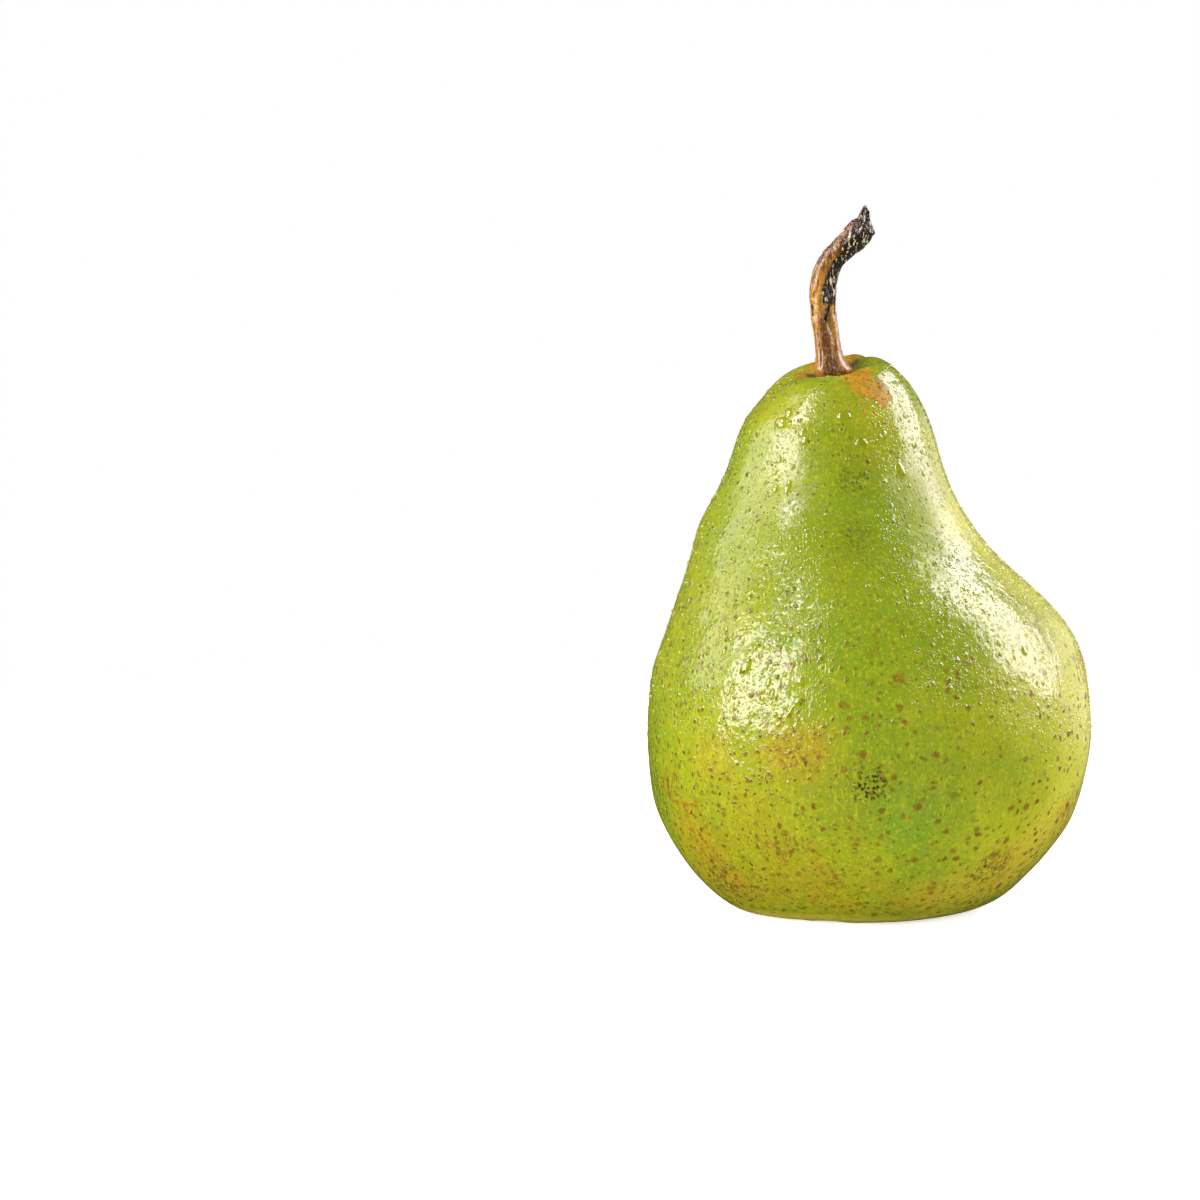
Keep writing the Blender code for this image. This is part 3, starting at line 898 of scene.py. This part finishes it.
def makeStem():
    print("stem: knobs on the broken end, then ridges and furrows along the bark")
    stem = copyOfNode("stem", "pearStem")
    foot = stemFoot()
    joinInto(stem, stemLumps(foot))
    fuse(stem, stemShape["voxel"], stemShape["smoothings"])

    # each point's nearest step up the line, and the way it lies from there
    places, normals = placesOf(stem), normalsOf(stem)
    line = stemLine(foot)
    nearest = np.argmin(((places[:, None, :] - line[None, :, :]) ** 2).sum(2), axis=1)
    out = places - line[nearest]
    outward = out / np.maximum(np.linalg.norm(out, axis=1), 0.001)[:, None]
    angle = np.arctan2(out[:, 1], out[:, 0])
    along = nearest / len(line)
    height = places[:, 2]
    shown = ramp(85.0, 87.0, height)
    wander = noiseAt(places * np.array((0.5, 0.5, 0.16)))

    relief = np.zeros(len(places))
    for count, rise, turns in stemShape["swells"]:
        relief += rise * np.cos(count * (angle + 0.9 * wander) + math.tau * turns * along)
    furrowShade = np.zeros(len(places))
    for direction, turn, depth, width, start, end in stemShape["furrows"]:
        off = (angle - direction - turn * (height - start) - 0.5 * wander + math.pi) % math.tau - math.pi
        broken = ramp(-0.25, 0.1, noiseAt([(direction, 5.0, z / 2.2) for z in height]))
        mark = np.exp(-((off / width) ** 2)) * ramp(start, start + 2, height)
        mark = mark * ramp(end, end - 2, height) * broken
        relief -= depth * mark
        furrowShade = np.maximum(furrowShade, mark)
    relief += roughNoiseAt(places / 1.3) * (0.06 + 0.2 * ramp(103.0, 108.0, height))

    # the right side is black from half way up, and so is most of the head
    darkness = outward @ np.array(stemShape["darkSide"]) + 0.3 * wander + 0.12
    darkness += 0.55 * ramp(104.5, 108.0, height) + 2 * ramp(109.8, 110.6, height)
    heart = np.exp(-(((angle + 1.45 - 0.5 * wander) / 0.45) ** 2)) * ramp(98.0, 95.0, height)
    collarHeight, collarReach, collarLeft, collarRight = stemShape["collar"]
    stand = collarLeft + (collarRight - collarLeft) * ramp(-0.2, 0.9, outward[:, 0])
    collar = stand * np.exp(-(((height - collarHeight) / collarReach) ** 2))
    movePlaces(stem, places + normals * (relief * shown + collar)[:, None])
    # the furrows, kept for their painted shade, partly the bark's own dark
    keepValues(stem, "furrowShade", furrowShade * shown)
    keepValues(stem, "age", ramp(0.0, 0.35, darkness) * ramp(96.0, 98.0, height))
    keepValues(stem, "heart", heart)
    return dress(stem, stemMaterial(), "stem_wood", ["stem"])


# Calyx

calyxShape = {"levels": 2, "wrinkle": 0.18, "filaments": 14, "filamentLength": 2.2, "filamentRadius": 0.13}


def calyxMaterial():
    material, tree, shader = newMaterial("dried_calyx")
    place = placeInMillimetres(tree)
    grain = clouds(tree, place, 0.7, 5.0, 0.7)[0]
    patch = clouds(tree, place, 2.2, 2.0)[0]
    colour = paint(tree, fromTo(tree, grain, 0.3, 0.7), (0.018, 0.011, 0.006), (0.15, 0.085, 0.035))
    colour = paint(tree, fromTo(tree, patch, 0.5, 0.7, 0.0, 0.5), colour, (0.24, 0.16, 0.07))
    tree.links.new(colour, shader.inputs["Base Color"])
    tree.links.new(fromTo(tree, grain, 0.3, 0.7, 0.6, 0.9), shader.inputs["Roughness"])
    raiseBy(tree, shader, grain, 0.15)
    return material


def makeCalyx():
    print("calyx: wrinkled sepals and dried filaments")
    calyx = copyOfNode("calyx", "pearCalyx")
    subdivide(calyx, calyxShape["levels"])
    places, normals = placesOf(calyx), normalsOf(calyx)
    wrinkles = roughNoiseAt(places / 1.1)
    outside = ramp(5.0, 4.0, places[:, 2])
    places += normals * (wrinkles * outside * calyxShape["wrinkle"])[:, None]
    places[:, 2] = np.maximum(places[:, 2], 0.15)
    movePlaces(calyx, places)

    # dried filaments round the middle
    low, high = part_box("calyx")
    middle = (low + high) / 2
    draw = random.Random(7)
    filaments = []
    for number in range(calyxShape["filaments"]):
        turn = math.tau * number / calyxShape["filaments"] + draw.uniform(-0.2, 0.2)
        away = draw.uniform(0.5, 1.5) * mm
        length = calyxShape["filamentLength"] * draw.uniform(0.7, 1.1) * mm
        place = (middle.x + away * math.cos(turn), middle.y + away * math.sin(turn), 3.9 * mm - length / 2)
        deselectAll()
        bpy.ops.mesh.primitive_cone_add(
            vertices=6,
            radius1=calyxShape["filamentRadius"] * 0.5 * mm,
            radius2=calyxShape["filamentRadius"] * mm,
            depth=length,
            location=place,
            rotation=(draw.uniform(-0.35, 0.35), draw.uniform(-0.35, 0.35), turn),
        )
        filaments.append(bpy.context.object)
    joinInto(calyx, filaments)
    return dress(calyx, calyxMaterial(), "dried_calyx", ["calyx"])


# Dew

dewShape = {
    "sunk": 0.12,  # share of a droplet's width that lies under the skin
    "fine": {"spacing": 0.85, "smallest": 0.17, "largest": 0.55, "seed": 3},
    "medium": {"spacing": 2.4, "smallest": 0.6, "largest": 1.25, "seed": 11},
    "stem": {"spacing": 0.6, "smallest": 0.18, "largest": 0.5, "seed": 5},
    "voxel": 0.11,
    "smoothings": 3,
}

# drops seen from the front: x, z, width, length and how far they lean, in degrees
largeDrops = (
    (-14.7, 78.4, 2.7, 2.1, 20), (-13.4, 80.0, 1.6, 2.2, -30), (-11.3, 76.9, 1.7, 1.9, 0),
    (-11.0, 75.6, 1.7, 1.6, 0), (-15.8, 70.6, 1.0, 1.0, 0), (-15.1, 72.7, 1.0, 1.5, 10),
    (-15.7, 68.2, 1.3, 1.7, 0), (-13.8, 68.5, 1.3, 2.6, 10), (-13.5, 60.9, 1.0, 1.4, 0),
    (3.9, 71.1, 1.8, 3.0, -15), (-20.0, 65.1, 1.0, 1.0, 0), (-5.0, 79.6, 2.4, 2.0, 0),
    (-2.3, 75.3, 2.2, 1.9, 0), (-0.6, 75.5, 0.8, 0.8, 0), (0.3, 73.2, 0.7, 0.7, 0),
    (-8.8, 61.0, 0.8, 0.9, 0), (-11.2, 62.0, 0.8, 0.9, 0), (-7.2, 56.4, 0.7, 0.7, 0),
    (5.3, 68.6, 1.0, 1.0, 0), (-20.7, 41.4, 1.9, 2.8, 20), (-23.9, 43.5, 1.0, 1.9, 5),
    (-23.6, 46.7, 1.0, 1.0, 0), (-22.9, 45.2, 0.9, 0.9, 0), (-21.3, 44.7, 0.8, 1.0, 0),
    (-23.2, 38.0, 0.7, 3.2, 15), (-17.3, 39.2, 0.9, 1.9, 5), (-16.8, 37.3, 0.8, 1.9, 10),
    (-18.8, 37.5, 0.9, 0.9, 0), (-18.2, 36.6, 0.8, 0.8, 0), (-16.3, 34.3, 0.9, 1.1, 0),
    (-17.6, 41.6, 0.8, 1.1, 0), (-15.7, 45.7, 0.9, 1.1, 0), (-18.0, 45.3, 0.8, 0.8, 0),
    (-19.3, 44.2, 0.8, 0.9, 0), (-14.0, 45.9, 0.9, 2.0, 25), (-12.4, 39.6, 1.8, 1.9, 0),
    (-12.8, 36.4, 1.8, 1.5, 0), (-14.0, 35.0, 0.8, 2.6, 30), (-11.0, 45.9, 0.7, 1.3, 15),
    (-20.0, 51.5, 1.1, 1.0, 0), (-17.7, 52.2, 0.9, 0.8, 0), (22.5, 43.5, 1.3, 1.7, 0),
    (18.3, 44.9, 1.2, 1.2, 0), (14.9, 52.2, 0.9, 0.9, 0), (18.0, 52.7, 1.0, 0.9, 0),
    (17.8, 51.7, 0.7, 0.7, 0),
)


def waterMaterial():
    material, tree, shader = newMaterial("dew_water")
    shader.inputs["Base Color"].default_value = (1.0, 1.0, 1.0, 1.0)
    shader.inputs["Roughness"].default_value = 0.0
    shader.inputs["IOR"].default_value = 1.33
    shader.inputs["Transmission Weight"].default_value = 1.0
    shader.inputs["Coat Weight"].default_value = 1.0
    shader.inputs["Coat IOR"].default_value = 1.8
    shader.inputs["Coat Roughness"].default_value = 0.02
    # light passes straight through to the skin, and only what is seen through a drop is bent
    rays = add(tree, "ShaderNodeLightPath").outputs
    lit = larger(tree, rays["Is Shadow Ray"], rays["Is Diffuse Ray"])
    clear = add(tree, "ShaderNodeBsdfTransparent").outputs[0]
    mixed = add(tree, "ShaderNodeMixShader", {0: lit, 1: shader.outputs[0], 2: clear}).outputs[0]
    tree.links.new(mixed, tree.nodes["Material Output"].inputs["Surface"])
    return material


def oneDroplet():
    # a low dome, one unit wide, cut from a sphere and closed underneath
    deselectAll()
    bpy.ops.mesh.primitive_uv_sphere_add(segments=8, ring_count=6, radius=0.577)
    droplet = bpy.context.object
    bpy.ops.object.mode_set(mode="EDIT")
    bpy.ops.mesh.select_all(action="SELECT")
    bpy.ops.mesh.bisect(plane_co=(0, 0, 0.2886), plane_no=(0, 0, 1), clear_inner=True, use_fill=True)
    bpy.ops.mesh.select_all(action="SELECT")
    bpy.ops.transform.translate(value=(0, 0, -0.2886 - dewShape["sunk"]))
    bpy.ops.transform.resize(value=(1, 1, 1.15), center_override=(0, 0, 0))
    bpy.ops.object.mode_set(mode="OBJECT")
    bpy.ops.object.shade_smooth()
    return droplet


def scatterGroup(name, droplet, size):
    # geometry nodes: droplets on the faces, more of them where dewShare is high
    group = bpy.data.node_groups.new(name, "GeometryNodeTree")
    group.interface.new_socket("Geometry", in_out="INPUT", socket_type="NodeSocketGeometry")
    group.interface.new_socket("Geometry", in_out="OUTPUT", socket_type="NodeSocketGeometry")
    start = add(group, "NodeGroupInput").outputs[0]
    named = {"Name": "dewShare"}
    share = add(group, "GeometryNodeInputNamedAttribute", named, data_type="FLOAT").outputs[0]
    inputs = {"Mesh": start, "Density Factor": share, "Seed": size["seed"]}
    spread = add(group, "GeometryNodeDistributePointsOnFaces", inputs, distribute_method="POISSON")
    spread.inputs["Distance Min"].default_value = size["spacing"] * mm
    spread.inputs["Density Max"].default_value = 4 / (size["spacing"] * mm) ** 2
    inputs = {"Min": grey(size["smallest"] * mm), "Seed": size["seed"] + 1}
    width = add(group, "FunctionNodeRandomValue", inputs, data_type="FLOAT_VECTOR")
    width.inputs["Max"].default_value = grey(size["largest"] * mm)
    # means of two random widths, so that few droplets are very small or very large
    even = add(group, "ShaderNodeSeparateXYZ", {0: width.outputs[0]}).outputs
    first = times(group, plus(group, even[0], even[1]), 0.5)
    second = times(group, plus(group, even[0], even[2]), 0.5)
    scale = add(group, "ShaderNodeCombineXYZ", {0: first, 1: second, 2: first}).outputs[0]
    inputs = {"Object": droplet, "As Instance": True}
    source = add(group, "GeometryNodeObjectInfo", inputs).outputs["Geometry"]
    inputs = {"Points": spread.outputs["Points"], "Instance": source}
    placed = add(group, "GeometryNodeInstanceOnPoints", inputs)
    group.links.new(spread.outputs["Rotation"], placed.inputs["Rotation"])
    group.links.new(scale, placed.inputs["Scale"])
    real = add(group, "GeometryNodeRealizeInstances", {0: placed.outputs[0]}).outputs[0]
    add(group, "NodeGroupOutput", {0: real})
    return group


def scatterDew(name, piece, droplet, size, water):
    dew = copyOf(piece, name)
    scatter = dew.modifiers.new("scatter", "NODES")
    scatter.node_group = scatterGroup(name, droplet, size)
    applyModifiers(dew)
    print(name, "has", len(dew.data.polygons), "faces")
    return dress(dew, water)


def dewShares(skin):
    # much dew on the upper two thirds, little down the front middle, none under the fruit or in the cavity
    places = placesOf(skin)
    x, y, z = places.T
    share = ramp(18, 38, z) * (0.45 + 0.55 * ramp(24, 46, z))
    middle = np.exp(-(((x + 5 - 0.10 * (60 - z)) / 7.0) ** 4)) * ramp(0, -8, y)
    share *= 1 - 0.86 * middle
    share *= ramp(3.8, 6.0, np.hypot(x + 6.4, y - 1.2)) * ramp(89, 84, z)
    return np.clip(share * (0.85 + 0.7 * noiseAt(places / 9)), 0, 1)


def makeDew(skin, stem):
    print("dew: fine, medium and large drops")
    water = waterMaterial()
    droplet = oneDroplet()
    keepValues(skin, "dewShare", dewShares(skin))
    scatterDew("dewFine", skin, droplet, dewShape["fine"], water)
    scatterDew("dewMedium", skin, droplet, dewShape["medium"], water)
    keepValues(stem, "dewShare", ramp(86.0, 88.0, placesOf(stem)[:, 2]) * 0.8)
    scatterDew("dewStem", stem, droplet, dewShape["stem"], water)
    bpy.data.objects.remove(droplet)
    makeLargeDrops(skin, water)


def makeLargeDrops(skin, water):
    points = [vertex.co for vertex in skin.data.vertices]
    surface = BVHTree.FromPolygons(points, [tuple(face.vertices) for face in skin.data.polygons])
    drops = []
    for x, z, width, length, lean in largeDrops:
        hit, normal = surface.ray_cast(Vector((x * mm, -0.1, z * mm)), Vector((0, 1, 0)))[:2]
        deselectAll()
        bpy.ops.mesh.primitive_ico_sphere_add(subdivisions=4, radius=0.5)
        drop = bpy.context.object
        down = (Vector((0, 0, -1)) - normal * normal.dot(Vector((0, 0, -1)))).normalized()
        side = down.cross(normal)
        turn = math.radians(lean)
        lengthwise = down * math.cos(turn) + side * math.sin(turn)
        across = side * math.cos(turn) - down * math.sin(turn)
        rise = min(width, length) * 0.62
        for vertex in drop.data.vertices:
            place = vertex.co.copy()
            place.x *= 1 + 0.25 * place.y
            flat = across * place.x * width + lengthwise * place.y * length
            vertex.co = hit + (flat + normal * place.z * rise) * mm
            vertex.co -= normal * rise * 0.06 * mm
        drops.append(drop)
    joinInto(drops[0], drops)
    large = drops[0]
    large.name = large.data.name = "dewLarge"
    bpy.ops.object.mode_set(mode="EDIT")
    bpy.ops.mesh.select_all(action="SELECT")
    bpy.ops.mesh.normals_make_consistent(inside=False)
    bpy.ops.object.mode_set(mode="OBJECT")
    fuse(large, dewShape["voxel"], dewShape["smoothings"])
    return dress(large, water)


# Studio

studio = {
    "floor": 420,  # radius
    "floorColour": {"seen": 0.9, "unseen": 0.75, "mirrored": 0.02},
    "floorGlow": 0.65,
    # the part of the floor that is lit where it is mirrored: middle, reach and core
    "litFloor": ((230.0, 200.0, 0.0), 300.0, 0.1),
    "litColour": (0.46, 0.43, 0.40),
    "world": {"seen": 1.0, "fill": 0.63, "mirrored": 0.05},
    "lens": 135,
    "sensor": 36,
    "sight": (0.01, 20),  # nearest and farthest, in metres
    "aim": (-43.3, 0.0, 49.6),
    "distance": 722,
    "elevation": 4.3,
    "lampAim": (0, 0, 45),
    "lampColour": (1.0, 0.888, 0.92),
    "softboxes": (  # azimuth from the camera's side, elevation, roll, distance, width, height and brightness
        ("leftBox", -65, 19, 14, 1100, 760, 780, 7.9),
        ("leftHighBox", -78, 60, 0, 1100, 380, 290, 12.5),
        ("leftSideBox", -108, 32, 0, 1100, 480, 860, 2.3),
        ("rightBox", 108, 34, -37, 1100, 780, 1060, 6.9),
        ("rightLowBox", 134, 5, 0, 1100, 800, 440, 1.05),
    ),
}


def directionTo(azimuth, elevation):
    turn, lift = math.radians(azimuth), math.radians(elevation)
    return Vector((math.sin(turn) * math.cos(lift), -math.cos(turn) * math.cos(lift), math.sin(lift)))


def makeLights():
    middle = Vector(studio["lampAim"]) * mm
    for name, azimuth, elevation, roll, distance, width, height, brightness in studio["softboxes"]:
        away = directionTo(azimuth, elevation)
        deselectAll()
        bpy.ops.object.light_add(type="AREA", location=middle + away * distance * mm)
        lamp = bpy.context.object
        lamp.name = name
        turned = away.to_track_quat("Z", "Y") @ Quaternion((0, 0, 1), math.radians(roll))
        lamp.rotation_euler = turned.to_euler()
        lamp.data.shape = "RECTANGLE"
        lamp.data.color = studio["lampColour"]
        lamp.data.size, lamp.data.size_y = width * mm, height * mm
        lamp.data.energy = brightness * math.pi * width * height * mm * mm
        lamp.visible_camera = False


def makeWorld():
    # white where the camera looks at it, a soft even fill for the skin, and dim where it is mirrored
    world = bpy.data.worlds.new("studio")
    bpy.context.scene.world = world
    world.use_nodes = True
    tree = world.node_tree
    background = tree.nodes["Background"]
    rays = add(tree, "ShaderNodeLightPath").outputs
    look = studio["world"]
    fill = paint(tree, rays["Is Diffuse Ray"], grey(look["mirrored"]), grey(look["fill"]))
    seen = paint(tree, rays["Is Camera Ray"], fill, grey(look["seen"]))
    tree.links.new(seen, background.inputs["Color"])
    world.cycles.sampling_method = "NONE"
    background.inputs["Strength"].default_value = 1.0


def floorMaterial():
    material, tree, shader = newMaterial("floor_white")
    look = studio["floorColour"]
    rays = add(tree, "ShaderNodeLightPath").outputs
    colour = paint(tree, rays["Is Camera Ray"], grey(look["unseen"]), grey(look["seen"]))
    tree.links.new(colour, shader.inputs["Base Color"])
    shader.inputs["Roughness"].default_value = 0.9
    shader.inputs["Specular IOR Level"].default_value = 0.0
    shader.inputs["Emission Color"].default_value = (1, 1, 1, 1)
    shader.inputs["Emission Strength"].default_value = studio["floorGlow"]
    # nearly black where the fruit mirrors it, but for a lit part behind it at the right
    lit = nearTo(tree, placeInMillimetres(tree), *studio["litFloor"])
    mirrored = paint(tree, lit, grey(look["mirrored"]), studio["litColour"])
    dim = add(tree, "ShaderNodeEmission", {"Color": mirrored}).outputs[0]
    inputs = {0: rays["Is Glossy Ray"], 1: shader.outputs[0], 2: dim}
    mixed = add(tree, "ShaderNodeMixShader", inputs).outputs[0]
    tree.links.new(mixed, tree.nodes["Material Output"].inputs["Surface"])
    return material


def makeFloor():
    deselectAll()
    bpy.ops.mesh.primitive_circle_add(vertices=128, radius=studio["floor"] * mm, fill_type="NGON")
    floor = bpy.context.object
    floor.name = "floor"
    floor.data.materials.append(floorMaterial())


def makeCamera():
    deselectAll()
    back = directionTo(0, studio["elevation"])
    bpy.ops.object.camera_add(location=(Vector(studio["aim"]) + back * studio["distance"]) * mm)
    camera = bpy.context.object
    camera.rotation_euler = back.to_track_quat("Z", "Y").to_euler()
    camera.data.lens = studio["lens"]
    camera.data.sensor_width = studio["sensor"]
    camera.data.clip_start, camera.data.clip_end = studio["sight"]
    bpy.context.scene.camera = camera


def makeStudio():
    print("studio: floor, softboxes, world and camera")
    makeFloor()
    makeLights()
    makeWorld()
    makeCamera()
    bpy.context.scene.view_settings.view_transform = "Standard"


makeStudio()
pearSkin = makeSkin()
pearStem = makeStem()
makeCalyx()
makeDew(pearSkin, pearStem)
